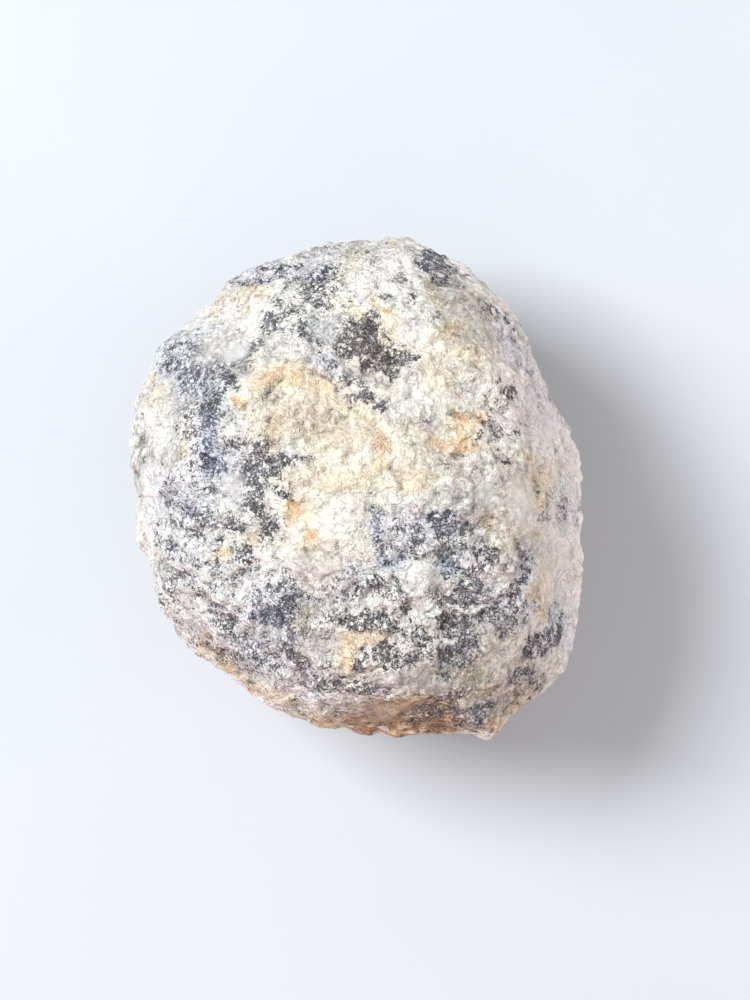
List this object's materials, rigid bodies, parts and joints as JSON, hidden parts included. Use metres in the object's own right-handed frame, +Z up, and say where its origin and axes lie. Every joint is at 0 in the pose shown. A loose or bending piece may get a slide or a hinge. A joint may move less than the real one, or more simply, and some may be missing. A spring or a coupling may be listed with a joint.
{
  "type": "geode",
  "caption": "Whole uncut geode nodule: a rough, faceted, slightly egg-shaped stone with a domed face and a small flat spot to rest on.",
  "frame": {"origin": "Under the middle of the stone's bounding box, at the level of the flat spot that it rests on.", "axes": "+Z up, out of the domed face. +Y runs along the stone's length, towards its broad round end, and +X to the right as the domed face is seen from above with the pointed corner at the lower right."},
  "size_m": [0.0462, 0.0512, 0.0415],
  "materials": {
    "rind": "rough, chalky and matt, white to cream with charcoal flecks"
  },
  "bodies": {
    "root": {"geode": "rind"}
  },
  "joints": []
}
